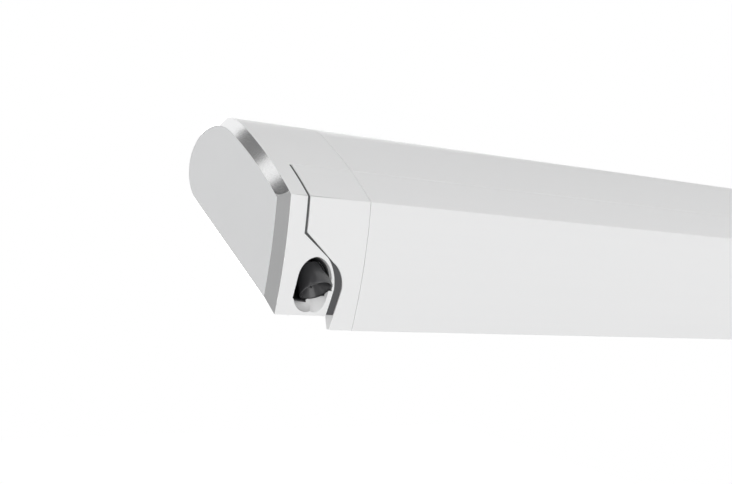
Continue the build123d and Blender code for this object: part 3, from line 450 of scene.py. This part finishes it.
def hem_cord():
    """The cord in the cloth's hem, which slides into the lead rail's groove."""
    work = bmesh.new()
    disc = bmesh.ops.create_circle(work, cap_ends=True, segments=cord_facets, radius=cord_radius)
    quarter_turn = Matrix.Rotation(pi / 2, 3, "Y")
    bmesh.ops.rotate(work, verts=disc["verts"], cent=(0, 0, 0), matrix=quarter_turn)
    bmesh.ops.translate(work, verts=disc["verts"], vec=(-cord_half, *cord_centre))
    drawn = bmesh.ops.extrude_face_region(work, geom=list(work.faces))
    far_end = [part for part in drawn["geom"] if isinstance(part, bmesh.types.BMVert)]
    bmesh.ops.translate(work, verts=far_end, vec=(2 * cord_half, 0, 0))
    bmesh.ops.recalc_face_normals(work, faces=work.faces)
    cut = work.loops.layers.uv.new("cut")
    for face in work.faces:
        face.smooth = True
        for loop in face.loops:
            loop[cut].uv = (loop.vert.co.x, loop.vert.co.z)
    cord = piece_of("hem_cord", work)
    cord.data.set_sharp_from_angle(angle=crisp)
    coat(cord, "cloth")
    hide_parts("front_keder")
    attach(cord, "lead_rail")
    return cord


sheet = canopy()
hem = hem_cord()


def seen_rays(graph):
    """1 for rays that see the room straight, in a mirror or through glass, and 0 for light."""
    names = ("Is Camera Ray", "Is Glossy Ray", "Is Transmission Ray")
    camera, glossy, through = (graph.node("ShaderNodeLightPath", output=name) for name in names)
    settings = {"operation": "ADD", "use_clamp": True}
    return graph.node("ShaderNodeMath", settings, {0: camera + glossy, 1: through})


def room():
    world = bpy.data.worlds.new("room")
    graph = Graph(world)
    lit, seen = (
        graph.node("ShaderNodeBackground", sockets={"Color": white, "Strength": strength})
        for strength in (room_light, room_seen)
    )
    both = graph.node("ShaderNodeMixShader", sockets={0: seen_rays(graph), 1: lit, 2: seen})
    graph.node("ShaderNodeOutputWorld", sockets={"Surface": both})
    scene.world = world


def floor():
    work = bmesh.new()
    bmesh.ops.create_grid(work, x_segments=1, y_segments=1, size=floor_half)
    bmesh.ops.translate(work, verts=work.verts, vec=(0, 0, floor_height))
    ground = piece_of("floor", work)
    made = bpy.data.materials.new("floor")
    graph = Graph(made)
    pale = graph.node("ShaderNodeBsdfDiffuse", sockets={"Color": floor_paint})
    glow = graph.node("ShaderNodeEmission", sockets={"Color": white, "Strength": floor_glow})
    share = seen_rays(graph) * floor_glow_share
    both = graph.node("ShaderNodeMixShader", sockets={0: share, 1: pale, 2: glow})
    graph.node("ShaderNodeOutputMaterial", sockets={"Surface": both})
    ground.data.materials.append(made)


def lamp(name, source, strength, angle):
    data = bpy.data.lights.new(name, "SUN")
    data.energy = strength
    data.angle = angle
    light = bpy.data.objects.new(name, data)
    light.rotation_mode = "QUATERNION"
    light.rotation_quaternion = Vector(source).to_track_quat("Z", "Y")
    scene.collection.objects.link(light)


def card(name, glow, corner, run, rise):
    """A flat card beside the object, seen only in its reflections."""
    work = bmesh.new()
    bmesh.ops.create_grid(work, x_segments=1, y_segments=1, size=1.0)
    for vert in work.verts:
        across = (vert.co.x + 1) / 2
        up = (vert.co.y + 1) / 2
        vert.co = Vector(corner) + Vector(run) * across + Vector(rise) * up
    plate = piece_of(name, work)
    made = bpy.data.materials.new(name)
    graph = Graph(made)
    shown = graph.node("ShaderNodeEmission", sockets={"Color": white, "Strength": glow})
    graph.node("ShaderNodeOutputMaterial", sockets={"Surface": shown})
    plate.data.materials.append(made)
    plate.visible_camera = False
    plate.visible_diffuse = False
    plate.visible_transmission = False
    plate.visible_shadow = False


def camera():
    data = bpy.data.cameras.new("camera")
    data.lens = camera_lens
    data.sensor_width = camera_sensor
    view = bpy.data.objects.new("camera", data)
    ahead = Vector(camera_ahead).normalized()
    right = ahead.cross(Vector(camera_up)).normalized()
    turn = Matrix((right, right.cross(ahead), -ahead)).transposed()
    view.matrix_world = Matrix.Translation(camera_place) @ turn.to_4x4()
    scene.collection.objects.link(view)
    scene.camera = view


room()
floor()
for one in lamps:
    lamp(*one)
for one in cards:
    card(*one)
camera()
scene.view_settings.view_transform = "Standard"
